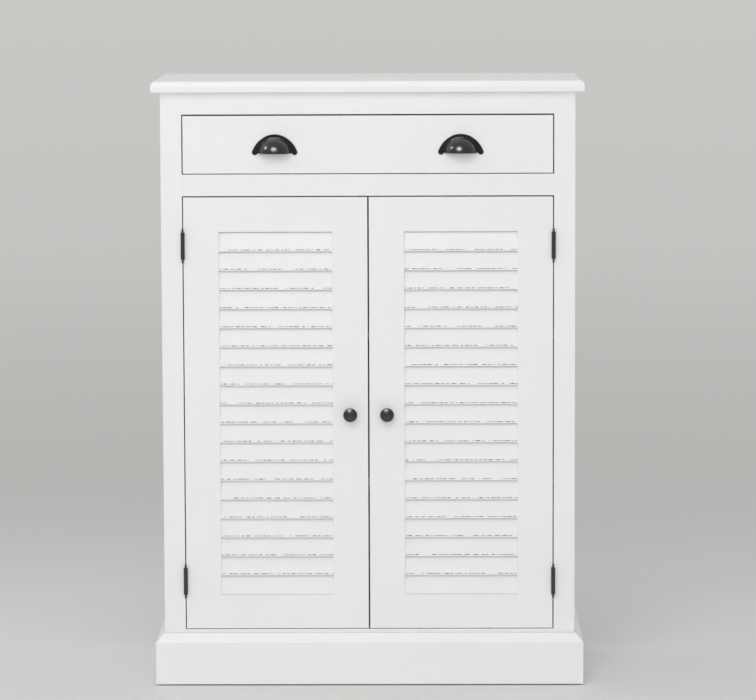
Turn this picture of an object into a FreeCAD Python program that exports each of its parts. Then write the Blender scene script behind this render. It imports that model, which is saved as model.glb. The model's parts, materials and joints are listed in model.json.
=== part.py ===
"""Louvred door cabinet: one wide drawer over a cupboard with two louvred doors.

Built like the real thing: a panelled carcass behind a face frame, a moulded top board, an
applied plinth, an inset drawer on wooden runners, and two framed doors whose fixed slats sit in
housings.  Millimetres.  X runs to the right, Y to the back, Z up.

While the pieces are made, Y = 0 is the front of the face frame, X = 0 is the middle of the
cabinet and Z = 0 is the floor.  save() then moves each piece back by the same amount, so that
the origin ends up at floor level in the middle of the cabinet's bounding box.
"""
import FreeCAD, Part
import math
import os

from FreeCAD import Vector

# ---------------------------------------------------------------- carcass and face frame
body_width = 767.0
body_depth = 343.5
frame_thickness = 20.0
frame_stile_width = 39.0
frame_top_rail_height = 41.0
frame_middle_rail_height = 40.0
frame_bottom_rail_height = 60.0
frame_tenon_length = 20.0
frame_tenon_thickness = 7.0
drawer_opening_height = 111.0
door_opening_height = 813.0
side_thickness = 18.0
panel_thickness = 16.0
panel_housing_depth = 6.0
floor_step = 4.0
back_thickness = 4.0
back_rebate_depth = 7.0
back_rebate_width = 9.0
back_edge_clearance = 0.3
back_above_floor = 20.0
rear_rail_thickness = 18.0
rear_rail_height = 60.0
cleat_size = 20.0
glue_block_size = 35.0

# ---------------------------------------------------------------- top board and plinth
top_thickness = 20.5
top_overhang = 16.5
top_round_width = 7.5
top_round_height = 10.0
plinth_height = 94.0
plinth_thickness = 16.5
plinth_bevel_width = 7.0
plinth_bevel_height = 10.0
plinth_above_floor = 1.6
rail_above_plinth = 10.5

# ---------------------------------------------------------------- shelves
shelf_set_back = 30.0
shelf_end_clearance = 1.0
shelf_rear_clearance = 2.0
lower_shelf_height = 372.0
upper_shelf_height = 648.0
shelf_pin_radius = 2.5
shelf_pin_length = 16.0
shelf_pin_fit = 0.1
shelf_hole_depth = 8.0
shelf_hole_pitch = 32.0
spare_holes_each_way = 1
shelf_pin_inset = 40.0

# ---------------------------------------------------------------- drawer
drawer_side_gap = 2.0
drawer_top_gap = 2.8
drawer_floor_gap = 1.6
drawer_front_thickness = 18.0
drawer_side_thickness = 12.0
drawer_side_height = 90.0
drawer_bottom_thickness = 5.0
drawer_bottom_lift = 9.0
drawer_groove_depth = 6.0
drawer_groove_clearance = 0.2
runner_gap = 0.3
runner_height = 16.0
runner_guide_rise = 42.0
kicker_gap = 1.5
kicker_height = 18.0
drawer_stop_gap = 0.3
drawer_stop_depth = 24.0
drawer_stop_height = 12.0

# ---------------------------------------------------------------- doors
door_side_gap = 2.0
door_top_gap = 2.4
door_floor_gap = 1.5
door_middle_gap = 2.8
door_thickness = 20.0
door_stile_width = 65.5
door_rail_width = 64.0
door_tenon_length = 25.0
door_tenon_thickness = 7.0
tenon_shoulder = 10.0
tenon_end_clearance = 0.3

# ---------------------------------------------------------------- louvres
slat_count = 19
slat_overlap = 0.9
slat_thickness = 4.8
slat_tilt = 10.5
slat_nose_height = 2.4
slat_set_back = 1.0
slat_rail_clearance = 0.4
slat_housing_depth = 5.0
slat_side_clearance = 0.15
slat_end_clearance = 0.3

# ---------------------------------------------------------------- hinges
hinge_inset = 90.0
hinge_length = 51.0
barrel_radius = 3.75
barrel_chamfer = 0.6
barrel_clear_of_face = 0.35
knuckle_gap = 0.3
hinge_pin_radius = 1.7
hinge_pin_clearance = 0.05
hinge_pin_reach = 20.0
hinge_bore_spare = 1.0
leaf_thickness = 0.9
leaf_width = 17.0
leaf_clear_of_barrel = 0.3
leaf_screw_spacing = 30.0
finial_neck_radius = 1.6
finial_neck_length = 1.6
finial_bulb_radius = 2.3
finial_tip_radius = 0.8
finial_length = 8.5

# ---------------------------------------------------------------- cup pulls
pull_spacing = 344.0
pull_half_width = 42.0
pull_arch_height = 35.0
pull_shoulder_x = 23.0
pull_shoulder_height = 27.5
pull_flank_x = 34.6
pull_flank_height = 16.5
pull_ear_radius = 5.2
pull_ear_drop = 3.2
pull_flange_thickness = 2.2
cup_half_width = 30.0
cup_reach = 28.0
cup_wall = 2.2
cup_foot_round = 1.4
pull_boss_radius = 4.0
pull_boss_spread = 44.0
pull_boss_rise = 10.0
pull_thread_depth = 8.0

# ---------------------------------------------------------------- knobs
knob_radius = 13.0
knob_reach = 24.5
knob_base_radius = 8.0
knob_base_thickness = 2.0
knob_neck_radius = 5.0
knob_neck_length = 7.0
knob_flare_length = 3.5
knob_head_thickness = 8.5
knob_rim_inset = 1.3
knob_crown_height = 3.0
knob_thread_depth = 12.0

# ---------------------------------------------------------------- catches
catch_width = 44.0
catch_depth = 16.0
catch_height = 24.0
catch_case_width = 26.0
catch_flange_thickness = 3.0
catch_gap = 0.3
strike_thickness = 1.2
strike_width = 30.0
strike_height = 13.0
strike_drop = 1.5

# ---------------------------------------------------------------- screws
screw_fit = 0.05
wood_screw_radius = 1.8
wood_screw_head_radius = 3.5
top_screw_length = 32.0
back_screw_length = 16.0
catch_screw_length = 12.0
screw_end_distance = 60.0
small_screw_radius = 1.4
small_screw_head_radius = 2.7
small_screw_length = 16.0
machine_screw_radius = 2.0
machine_screw_head_radius = 4.0
machine_screw_head_height = 2.2

# ---------------------------------------------------------------- places worked out from the sizes
body_half = body_width / 2
inner_half = body_half - side_thickness
opening_half = body_half - frame_stile_width
door_opening_floor = plinth_height + rail_above_plinth
door_opening_top = door_opening_floor + door_opening_height
drawer_opening_floor = door_opening_top + frame_middle_rail_height
drawer_opening_top = drawer_opening_floor + drawer_opening_height
body_height = drawer_opening_top + frame_top_rail_height
overall_height = body_height + top_thickness

panel_rear = body_depth - back_rebate_depth
rear_rail_front = panel_rear - rear_rail_thickness
bottom_panel_top = door_opening_floor - floor_step
bottom_panel_floor = bottom_panel_top - panel_thickness
divider_top = drawer_opening_floor - runner_height
divider_floor = divider_top - panel_thickness
shelf_half = inner_half - shelf_end_clearance
shelf_rear = panel_rear - shelf_rear_clearance

door_hinge_edge = opening_half - door_side_gap
door_meeting_edge = door_middle_gap / 2
door_floor = door_opening_floor + door_floor_gap
door_top = door_opening_top - door_top_gap
louvre_outer_edge = door_hinge_edge - door_stile_width
louvre_inner_edge = door_meeting_edge + door_stile_width
louvre_floor = door_floor + door_rail_width
louvre_top = door_top - door_rail_width
slat_pitch = (louvre_top - louvre_floor - 2 * slat_rail_clearance - slat_overlap) / slat_count

hinge_axis_x = opening_half - door_side_gap / 2
hinge_axis_y = -(barrel_radius + barrel_clear_of_face)
hinge_heights = [door_floor + hinge_inset, door_top - hinge_inset]
leaf_front = hinge_axis_y + barrel_radius + leaf_clear_of_barrel
leaf_rear = leaf_front + leaf_width
knob_x = door_meeting_edge + door_stile_width / 2
knob_z = (door_floor + door_top) / 2
catch_front = door_thickness + strike_thickness + catch_gap

drawer_half = opening_half - drawer_side_gap
drawer_inner_half = drawer_half - drawer_side_thickness
drawer_front_floor = drawer_opening_floor + drawer_floor_gap
drawer_front_top = drawer_opening_top - drawer_top_gap
drawer_stop_front = panel_rear - drawer_stop_depth
drawer_rear = drawer_stop_front - drawer_stop_gap
drawer_side_floor = drawer_opening_floor + runner_gap
drawer_side_top = drawer_side_floor + drawer_side_height
drawer_bottom_floor = drawer_side_floor + drawer_bottom_lift
drawer_bottom_top = drawer_bottom_floor + drawer_bottom_thickness
pull_x = pull_spacing / 2
pull_middle = (drawer_front_floor + drawer_front_top) / 2
pull_rim_z = pull_middle - (pull_arch_height - pull_ear_drop) / 2

front_reach = max(knob_reach, cup_reach, top_overhang, plinth_thickness)
middle_depth = (body_depth - front_reach) / 2

tolerance = 0.01
to_left = Vector(-1, 0, 0)
to_right = Vector(1, 0, 0)
to_front = Vector(0, -1, 0)
to_back = Vector(0, 1, 0)
upward = Vector(0, 0, 1)
downward = Vector(0, 0, -1)


# ---------------------------------------------------------------- helpers
def block(x_low, x_high, y_low, y_high, z_low, z_high):
    """A plain board or block between the given faces."""
    corner = Vector(x_low, y_low, z_low)
    return Part.makeBox(x_high - x_low, y_high - y_low, z_high - z_low, corner)


def mirrored(shape):
    """The same piece on the other side of the cabinet."""
    return shape.mirror(Vector(0, 0, 0), to_right)


def both_sides(shape):
    """A piece and its mirror image as two separate solids."""
    return Part.makeCompound([shape, mirrored(shape)])


def rod(radius, length, base, direction):
    return Part.makeCylinder(radius, length, base, direction)


def face_of(edges):
    """A flat face inside a closed chain of edges."""
    return Part.Face(Part.Wire(Part.__sortEdges__(edges)))


def prism(points, push):
    """A straight-sided outline pushed along a vector."""
    return Part.Face(Part.makePolygon(points + [points[0]])).extrude(push)


def line(start, end):
    return Part.makeLine(start, end)


def arc(start, middle, end):
    """The circular arc through three points."""
    return Part.Arc(start, middle, end).toShape()


def quarter_ellipse(start, corner, end):
    """The quarter ellipse from start to end whose end tangents meet at corner."""
    curve = Part.BezierCurve()
    curve.setPoles([start, corner, end])
    curve.setWeight(2, math.sqrt(0.5))
    return curve.toShape()


def stood_at(solid, base, direction):
    """Turns a solid made along Z so that it stands at base and points along direction."""
    solid.Placement = FreeCAD.Placement(base, FreeCAD.Rotation(upward, direction))
    return solid


def turned(profile, base, direction):
    """Revolves straight (radius, height) points about Z and stands the result at base."""
    points = [Vector(radius, 0, height) for radius, height in profile]
    outline = Part.Face(Part.makePolygon(points + [points[0]]))
    return stood_at(outline.revolve(Vector(0, 0, 0), upward, 360), base, direction)


def save(name, shape):
    """Moves a piece from the building frame into the cabinet's own frame and writes it."""
    placed = shape.copy()
    placed.translate(Vector(0, -middle_depth, 0))
    placed.exportStep("parts/" + name + ".step")


def countersunk(head, direction, length, radius, head_radius, growth=0.0):
    """A countersunk screw with its flat head at head; growth turns it into its pilot hole."""
    cone = head_radius - radius
    profile = [
        (0, 0), (head_radius + growth, 0), (radius + growth, cone),
        (radius + growth, length - 2 * radius), (0, length + growth),
    ]
    return turned(profile, head, direction)


def wood_screw(head, direction, length, growth=0.0):
    return countersunk(head, direction, length, wood_screw_radius, wood_screw_head_radius, growth)


def small_screw(head, direction, growth=0.0):
    """The size used in hinge leaves and strike plates."""
    return countersunk(
        head, direction, small_screw_length, small_screw_radius, small_screw_head_radius, growth)


def machine_screw(seat, direction, length):
    """A pan head screw with the underside of its head at seat."""
    crown_radius = 0.7 * machine_screw_head_radius
    shoulder = -0.5 * machine_screw_head_height
    profile = [
        (0, -machine_screw_head_height), (crown_radius, -machine_screw_head_height),
        (machine_screw_head_radius, shoulder), (machine_screw_head_radius, 0),
        (machine_screw_radius, 0), (machine_screw_radius, length), (0, length),
    ]
    return turned(profile, seat, direction)


def machine_screw_hole(seat, direction, length):
    return rod(machine_screw_radius + screw_fit, length + screw_fit, seat, direction)


# ---------------------------------------------------------------- top board and plinth
def make_top_board():
    """A board with an elliptical round-over on its front and side edges, square at the rear."""
    half = body_half + top_overhang
    front = -top_overhang
    round_floor = overall_height - top_round_height
    across = Vector(2 * half, 0, 0)
    backward = Vector(0, body_depth + top_overhang, 0)

    front_profile = face_of([
        line(Vector(-half, body_depth, body_height), Vector(-half, front, body_height)),
        line(Vector(-half, front, body_height), Vector(-half, front, round_floor)),
        quarter_ellipse(
            Vector(-half, front, round_floor),
            Vector(-half, front, overall_height),
            Vector(-half, front + top_round_width, overall_height)),
        line(Vector(-half, front + top_round_width, overall_height),
             Vector(-half, body_depth, overall_height)),
        line(Vector(-half, body_depth, overall_height), Vector(-half, body_depth, body_height)),
    ])
    side_profile_edges = [
        line(Vector(-half, front, body_height), Vector(half, front, body_height)),
        line(Vector(-half + top_round_width, front, overall_height),
             Vector(half - top_round_width, front, overall_height)),
    ]
    for side in (-1, 1):
        edge = side * half
        side_profile_edges.append(
            line(Vector(edge, front, body_height), Vector(edge, front, round_floor)))
        side_profile_edges.append(quarter_ellipse(
            Vector(edge, front, round_floor),
            Vector(edge, front, overall_height),
            Vector(edge - side * top_round_width, front, overall_height)))
    side_profile = face_of(side_profile_edges)
    board = front_profile.extrude(across).common(side_profile.extrude(backward))
    return board.cut(Part.makeCompound(top_screws(screw_fit)))


def plinth_outline(outward, foot):
    """The plinth's section, just clear of the floor, with the bevel along its outer top edge."""
    bevel_floor = plinth_height - plinth_bevel_height
    flat = plinth_thickness - plinth_bevel_width
    return [
        foot + upward * plinth_above_floor,
        foot + outward * plinth_thickness + upward * plinth_above_floor,
        foot + outward * plinth_thickness + upward * bevel_floor,
        foot + outward * flat + upward * plinth_height,
        foot + upward * plinth_height,
    ]


def make_plinth_front():
    """Front board, mitred at both ends."""
    outer = body_half + plinth_thickness
    moulding = prism(plinth_outline(to_front, Vector(-outer, 0, 0)), Vector(2 * outer, 0, 0))
    plan = [
        Vector(-outer, -plinth_thickness, 0), Vector(outer, -plinth_thickness, 0),
        Vector(body_half, 0, 0), Vector(-body_half, 0, 0),
    ]
    return moulding.common(prism(plan, upward * plinth_height))


def make_plinth_side():
    """Right-hand board, mitred at the front and square at the rear."""
    outer = body_half + plinth_thickness
    front = -plinth_thickness
    length = body_depth + plinth_thickness
    moulding = prism(plinth_outline(to_right, Vector(body_half, front, 0)), to_back * length)
    plan = [
        Vector(outer, front, 0), Vector(outer, body_depth, 0),
        Vector(body_half, body_depth, 0), Vector(body_half, 0, 0),
    ]
    return moulding.common(prism(plan, upward * plinth_height))


# ---------------------------------------------------------------- carcass
def shelf_hole_places():
    """Places of the shelf pin holes in the right side panel, and of those that hold a pin."""
    depths = [shelf_set_back + shelf_pin_inset, shelf_rear - shelf_pin_inset]
    holes = []
    pins = []
    for shelf_floor in (lower_shelf_height, upper_shelf_height):
        for depth in depths:
            height = shelf_floor - shelf_pin_radius
            pins.append(Vector(inner_half, depth, height))
            for step in range(-spare_holes_each_way, spare_holes_each_way + 1):
                holes.append(Vector(inner_half, depth, height + step * shelf_hole_pitch))
    return holes, pins


def make_side_panel():
    """Right side panel with its rebate, panel housings and shelf pin holes."""
    panel = block(inner_half, body_half, frame_thickness, body_depth, 0, body_height)
    rebate = block(
        inner_half, inner_half + back_rebate_width, panel_rear, body_depth, 0, body_height)
    cuts = [rebate]
    for panel_floor in (bottom_panel_floor, divider_floor):
        cuts.append(block(
            inner_half, inner_half + panel_housing_depth, frame_thickness, panel_rear,
            panel_floor, panel_floor + panel_thickness))
    for place in shelf_hole_places()[0]:
        cuts.append(rod(shelf_pin_radius + shelf_pin_fit, shelf_hole_depth, place, to_right))
    cuts.extend(back_screws(screw_fit))
    return panel.cut(Part.makeCompound(cuts))


def make_shelf_pins():
    """Eight steel pins, half in the side panels and half under the shelves."""
    pins = []
    for place in shelf_hole_places()[1]:
        end = place + to_right * (shelf_hole_depth - shelf_pin_fit)
        pin = rod(shelf_pin_radius, shelf_pin_length, end, to_left)
        pins.append(pin)
        pins.append(mirrored(pin))
    return Part.makeCompound(pins)


def make_shelf(shelf_floor):
    return block(
        -shelf_half, shelf_half, shelf_set_back, shelf_rear,
        shelf_floor, shelf_floor + panel_thickness)


def make_housed_panel(panel_floor):
    """A full-depth panel whose ends lie in the housings of the side panels."""
    half = inner_half + panel_housing_depth
    return block(
        -half, half, frame_thickness, panel_rear, panel_floor, panel_floor + panel_thickness)


def make_divider():
    """The panel between the drawer and the cupboard, with the catches' screw holes."""
    return make_housed_panel(divider_floor).cut(Part.makeCompound(catch_screws(screw_fit)))


def make_back_panel():
    half = inner_half + back_rebate_width - back_edge_clearance
    panel = block(
        -half, half, panel_rear, panel_rear + back_thickness,
        back_above_floor, body_height - back_edge_clearance)
    return panel.cut(Part.makeCompound(back_screws(screw_fit)))


def rear_rail_floors():
    """Undersides of the bottom and the top rear rail."""
    return [bottom_panel_floor - rear_rail_height, body_height - rear_rail_height]


def make_rear_rails():
    """Two rails across the back, one under the bottom panel and one under the top board."""
    holes = Part.makeCompound(back_screws(screw_fit))
    rails = []
    for rail_floor in rear_rail_floors():
        rail = block(
            -inner_half, inner_half, rear_rail_front, panel_rear,
            rail_floor, rail_floor + rear_rail_height)
        rails.append(rail.cut(holes))
    return Part.makeCompound(rails)


def make_top_cleats():
    """Strips inside the top of each side panel that the top board is screwed to."""
    cleat = block(
        inner_half - cleat_size, inner_half, frame_thickness, rear_rail_front,
        body_height - cleat_size, body_height)
    return both_sides(cleat.cut(Part.makeCompound(top_screws(screw_fit))))


def make_glue_blocks():
    """Triangular blocks in the four corners under the bottom panel."""
    block_floor = bottom_panel_floor - glue_block_size
    blocks = []
    for corner_depth, turn in ((frame_thickness, 1), (rear_rail_front, -1)):
        corner = Vector(inner_half, corner_depth, block_floor)
        plan = [
            corner,
            corner + to_left * glue_block_size,
            corner + to_back * (turn * glue_block_size),
        ]
        glue_block = prism(plan, upward * glue_block_size)
        blocks.append(glue_block)
        blocks.append(mirrored(glue_block))
    return Part.makeCompound(blocks)


# ---------------------------------------------------------------- face frame
def make_tenon(x_from, x_to, thickness, board_thickness, rail_floor, rail_height):
    """A tenon, or its mortise, in the middle of a board's thickness."""
    y_low = (board_thickness - thickness) / 2
    return block(
        min(x_from, x_to), max(x_from, x_to), y_low, y_low + thickness,
        rail_floor + tenon_shoulder, rail_floor + rail_height - tenon_shoulder)


def frame_rail_spans():
    """Underside and height of each of the face frame's rails."""
    return {
        "bottom": (door_opening_floor - frame_bottom_rail_height, frame_bottom_rail_height),
        "middle": (door_opening_top, frame_middle_rail_height),
        "top": (drawer_opening_top, frame_top_rail_height),
    }


def make_frame_rail(which):
    rail_floor, rail_height = frame_rail_spans()[which]
    rail = block(
        -opening_half, opening_half, 0, frame_thickness, rail_floor, rail_floor + rail_height)
    tenon = make_tenon(
        opening_half, opening_half + frame_tenon_length, frame_tenon_thickness,
        frame_thickness, rail_floor, rail_height)
    return rail.fuse([tenon, mirrored(tenon)]).removeSplitter()


def make_frame_stile():
    """Right stile of the face frame, mortised for the rails and drilled for the hinges."""
    stile = block(opening_half, body_half, 0, frame_thickness, 0, body_height)
    mortise_end = opening_half + frame_tenon_length + tenon_end_clearance
    cuts = []
    for rail_floor, rail_height in frame_rail_spans().values():
        cuts.append(make_tenon(
            opening_half, mortise_end, frame_tenon_thickness, frame_thickness,
            rail_floor, rail_height))
    cuts.extend(frame_leaf_screws(screw_fit))
    return stile.cut(Part.makeCompound(cuts))


# ---------------------------------------------------------------- drawer and what carries it
def make_drawer_runner():
    """Right runner: an L-shaped strip that carries the drawer's side and guides it."""
    drawer_side = drawer_inner_half
    guide_top = drawer_opening_floor + runner_guide_rise
    section = [
        Vector(drawer_side, frame_thickness, divider_top),
        Vector(inner_half, frame_thickness, divider_top),
        Vector(inner_half, frame_thickness, guide_top),
        Vector(opening_half, frame_thickness, guide_top),
        Vector(opening_half, frame_thickness, drawer_opening_floor),
        Vector(drawer_side, frame_thickness, drawer_opening_floor),
    ]
    return prism(section, to_back * (panel_rear - frame_thickness))


def make_drawer_kickers():
    """Strips above the drawer's sides that keep it level when it is pulled out."""
    kicker_floor = drawer_side_top + kicker_gap
    return both_sides(block(
        drawer_inner_half, inner_half, frame_thickness, rear_rail_front,
        kicker_floor, kicker_floor + kicker_height))


def make_drawer_stops():
    """Blocks on the rear ends of the runners that the shut drawer comes up to."""
    return both_sides(block(
        drawer_inner_half, opening_half, drawer_stop_front, panel_rear,
        drawer_opening_floor, drawer_opening_floor + drawer_stop_height))


def drawer_bottom_groove():
    """The space that the grooves round the drawer's inside leave for its bottom."""
    reach = drawer_groove_depth + drawer_groove_clearance
    half = drawer_inner_half + reach
    return block(
        -half, half, drawer_front_thickness - reach, drawer_rear,
        drawer_bottom_floor - drawer_groove_clearance / 2,
        drawer_bottom_top + drawer_groove_clearance / 2)


def make_drawer_front():
    front = block(
        -drawer_half, drawer_half, 0, drawer_front_thickness, drawer_front_floor, drawer_front_top)
    cuts = [drawer_bottom_groove()]
    for seat in pull_screw_seats():
        cuts.append(machine_screw_hole(seat, to_front, drawer_front_thickness))
    return front.cut(Part.makeCompound(cuts))


def make_drawer_side():
    side = block(
        drawer_inner_half, drawer_half, drawer_front_thickness, drawer_rear,
        drawer_side_floor, drawer_side_top)
    return side.cut(drawer_bottom_groove())


def make_drawer_bottom():
    half = drawer_inner_half + drawer_groove_depth
    return block(
        -half, half, drawer_front_thickness - drawer_groove_depth, drawer_rear,
        drawer_bottom_floor, drawer_bottom_top)


def make_drawer_back():
    """The back stands on the drawer's bottom, between the sides."""
    return block(
        -drawer_inner_half, drawer_inner_half, drawer_rear - drawer_side_thickness,
        drawer_rear, drawer_bottom_top, drawer_side_top)


# ---------------------------------------------------------------- cup pulls
def pull_point(across, up):
    """A point on the drawer's face, measured from the middle of the right pull's rim."""
    return Vector(pull_x + across, 0, pull_rim_z + up)


def quarter_dome(half_width, reach):
    """A quarter of an ellipsoid, in front of the drawer's face and above the pull's rim."""
    profile = face_of([
        quarter_ellipse(
            pull_point(-half_width, 0), pull_point(-half_width, reach), pull_point(0, reach)),
        quarter_ellipse(
            pull_point(0, reach), pull_point(half_width, reach), pull_point(half_width, 0)),
        line(pull_point(half_width, 0), pull_point(-half_width, 0)),
    ])
    return profile.revolve(pull_point(0, 0), to_right, 90)


def make_pull_flange():
    """The half-moon plate round the cup, with a round ear at each lower corner."""
    ear_x = pull_half_width - pull_ear_radius
    ear_z = pull_ear_radius - pull_ear_drop
    arch = face_of([
        arc(pull_point(-pull_shoulder_x, pull_shoulder_height), pull_point(0, pull_arch_height),
            pull_point(pull_shoulder_x, pull_shoulder_height)),
        arc(pull_point(pull_shoulder_x, pull_shoulder_height),
            pull_point(pull_flank_x, pull_flank_height), pull_point(pull_half_width, ear_z)),
        line(pull_point(pull_half_width, ear_z), pull_point(-pull_half_width, ear_z)),
        arc(pull_point(-pull_half_width, ear_z),
            pull_point(-pull_flank_x, pull_flank_height),
            pull_point(-pull_shoulder_x, pull_shoulder_height)),
    ])
    plate = arch.extrude(to_front * pull_flange_thickness)
    rim_bar = block(
        pull_x - ear_x, pull_x + ear_x, -pull_flange_thickness, 0,
        pull_rim_z, pull_rim_z + ear_z)
    ears = [
        rod(pull_ear_radius, pull_flange_thickness, pull_point(side * ear_x, ear_z), to_front)
        for side in (-1, 1)
    ]
    return plate.fuse([rim_bar] + ears).removeSplitter()


def pull_boss_places():
    return [pull_point(side * pull_boss_spread / 2, pull_boss_rise) for side in (-1, 1)]


def cup_foot_edges(solid):
    """The edges where the cup rises out of the flange's front face."""
    edges = []
    for edge in solid.Edges:
        box = edge.BoundBox
        on_face = box.YLength < tolerance and abs(box.YMin + pull_flange_thickness) < tolerance
        from_rim = abs(box.ZMin - pull_rim_z) < tolerance and box.ZLength > tolerance
        if on_face and from_rim:
            edges.append(edge)
    return edges


def make_cup_pull():
    """Right cup pull: a hollow quarter dome on a flange, with two bosses for its screws."""
    outer = quarter_dome(cup_half_width, cup_reach)
    hollow = quarter_dome(cup_half_width - cup_wall, cup_reach - cup_wall)
    bosses = [
        rod(pull_boss_radius, cup_reach, place, to_front).common(outer)
        for place in pull_boss_places()
    ]
    solid = make_pull_flange().fuse(outer).Solids[0]
    solid = solid.makeFillet(cup_foot_round, cup_foot_edges(solid))
    pull = solid.cut(hollow).fuse(bosses)
    threads = [
        rod(machine_screw_radius + screw_fit, pull_thread_depth + screw_fit, place, to_front)
        for place in pull_boss_places()
    ]
    return pull.cut(Part.makeCompound(threads))


def pull_screw_seats():
    """Places on the inside of the drawer front where the pulls' screw heads bear."""
    seats = [place + to_back * drawer_front_thickness for place in pull_boss_places()]
    return seats + [Vector(-seat.x, seat.y, seat.z) for seat in seats]


def make_pull_screws():
    length = drawer_front_thickness + pull_thread_depth
    return Part.makeCompound(
        [machine_screw(seat, to_front, length) for seat in pull_screw_seats()])


# ---------------------------------------------------------------- doors, right-hand one
def slat_outline(x, slat_number, growth=0.0):
    """Section of one slat: a leaning board, its nose planed upright in front and level below."""
    tilt = math.radians(slat_tilt)
    along = Vector(0, math.sin(tilt), math.cos(tilt))
    through = Vector(0, math.cos(tilt), -math.sin(tilt))
    slat_floor = louvre_floor + slat_rail_clearance + slat_number * slat_pitch
    nose_front = slat_set_back - growth
    nose_floor = slat_floor - growth

    nose_arris = Vector(x, slat_set_back, slat_floor + slat_nose_height)
    slope_length = (slat_pitch + slat_overlap - slat_nose_height) / math.cos(tilt)
    front_foot = nose_arris - through * growth
    nose_top = front_foot + along * ((nose_front - front_foot.y) / math.sin(tilt))
    front_top = front_foot + along * (slope_length + growth)
    rear_top = front_top + through * (slat_thickness + 2 * growth)
    rear_foot = rear_top + along * ((nose_floor - rear_top.z) / math.cos(tilt))
    return [Vector(x, nose_front, nose_floor), nose_top, front_top, rear_top, rear_foot]


def make_louvres():
    """All the slats of the right door, each with its ends in the stiles' housings."""
    reach = slat_housing_depth - slat_end_clearance
    start = louvre_inner_edge - reach
    length = louvre_outer_edge + reach - start
    slats = [
        prism(slat_outline(start, number), to_right * length) for number in range(slat_count)
    ]
    return Part.makeCompound(slats)


def slat_housings(edge, direction):
    """The slanting housings cut into a stile from its louvre-side edge."""
    return [
        prism(slat_outline(edge, number, slat_side_clearance), direction * slat_housing_depth)
        for number in range(slat_count)
    ]


def door_rail_floors():
    return [door_floor, louvre_top]


def door_mortises(edge, side):
    """Mortises for both rails, cut into a stile from its louvre-side edge."""
    depth = door_tenon_length + tenon_end_clearance
    return [
        make_tenon(
            edge, edge + side * depth, door_tenon_thickness, door_thickness,
            rail_floor, door_rail_width)
        for rail_floor in door_rail_floors()
    ]


def make_door_rail(rail_floor):
    rail = block(
        louvre_inner_edge, louvre_outer_edge, 0, door_thickness,
        rail_floor, rail_floor + door_rail_width)
    tenons = [
        make_tenon(
            edge, edge + side * door_tenon_length, door_tenon_thickness, door_thickness,
            rail_floor, door_rail_width)
        for edge, side in ((louvre_inner_edge, -1), (louvre_outer_edge, 1))
    ]
    return rail.fuse(tenons).removeSplitter()


def make_hinge_stile():
    stile = block(louvre_outer_edge, door_hinge_edge, 0, door_thickness, door_floor, door_top)
    cuts = slat_housings(louvre_outer_edge, to_right)
    cuts.extend(door_mortises(louvre_outer_edge, 1))
    cuts.extend(door_leaf_screws(screw_fit))
    return stile.cut(Part.makeCompound(cuts))


def make_meeting_stile():
    stile = block(door_meeting_edge, louvre_inner_edge, 0, door_thickness, door_floor, door_top)
    cuts = slat_housings(louvre_inner_edge, to_left)
    cuts.extend(door_mortises(louvre_inner_edge, -1))
    cuts.append(machine_screw_hole(knob_screw_seat(), to_front, door_thickness))
    cuts.append(strike_screw(screw_fit))
    return stile.cut(Part.makeCompound(cuts))


def make_knob():
    """A turned mushroom knob on a small round base, drilled for its screw from behind."""
    head_floor = knob_reach - knob_head_thickness
    neck_top = head_floor - knob_flare_length
    neck_floor = neck_top - knob_neck_length
    rim_radius = knob_radius - knob_rim_inset
    crown_floor = knob_reach - knob_crown_height
    profile = [
        (0, 0), (knob_base_radius, 0), (knob_base_radius, knob_base_thickness),
        (knob_neck_radius, neck_floor), (knob_neck_radius, neck_top), (rim_radius, head_floor),
    ]
    points = [Vector(radius, 0, height) for radius, height in profile]
    edges = [line(start, end) for start, end in zip(points, points[1:])]
    rim_floor = points[-1]
    rim_top = Vector(rim_radius, 0, crown_floor)
    crown = Vector(0, 0, knob_reach)
    crown_radius = (rim_radius ** 2 + knob_crown_height ** 2) / (2 * knob_crown_height)
    crown_side_sink = crown_radius - math.sqrt(crown_radius ** 2 - (rim_radius / 2) ** 2)
    crown_side = Vector(rim_radius / 2, 0, knob_reach - crown_side_sink)
    edges.append(arc(rim_floor, Vector(knob_radius, 0, (head_floor + crown_floor) / 2), rim_top))
    edges.append(arc(rim_top, crown_side, crown))
    edges.append(line(crown, points[0]))
    solid = face_of(edges).revolve(Vector(0, 0, 0), upward, 360)
    thread = rod(machine_screw_radius + screw_fit, knob_thread_depth + screw_fit,
                 Vector(0, 0, 0), upward)
    return stood_at(solid.cut(thread), Vector(knob_x, 0, knob_z), to_front)


def knob_screw_seat():
    return Vector(knob_x, door_thickness, knob_z)


def make_knob_screw():
    return machine_screw(knob_screw_seat(), to_front, door_thickness + knob_thread_depth)


# ---------------------------------------------------------------- hinges, right-hand side
def leaf_screw_depth():
    return (leaf_front + leaf_rear) / 2


def leaf_screw_heights():
    heights = []
    for middle in hinge_heights:
        heights.append(middle - leaf_screw_spacing / 2)
        heights.append(middle + leaf_screw_spacing / 2)
    return heights


def frame_leaf_screws(growth=0.0):
    """Screws of the frame's leaves, driven outwards into the face frame's right stile."""
    face = opening_half - leaf_thickness
    return [
        small_screw(Vector(face, leaf_screw_depth(), height), to_right, growth)
        for height in leaf_screw_heights()
    ]


def door_leaf_screws(growth=0.0):
    """Screws of the door's leaves, driven inwards into the door's hinge stile."""
    face = door_hinge_edge + leaf_thickness
    return [
        small_screw(Vector(face, leaf_screw_depth(), height), to_left, growth)
        for height in leaf_screw_heights()
    ]


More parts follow.
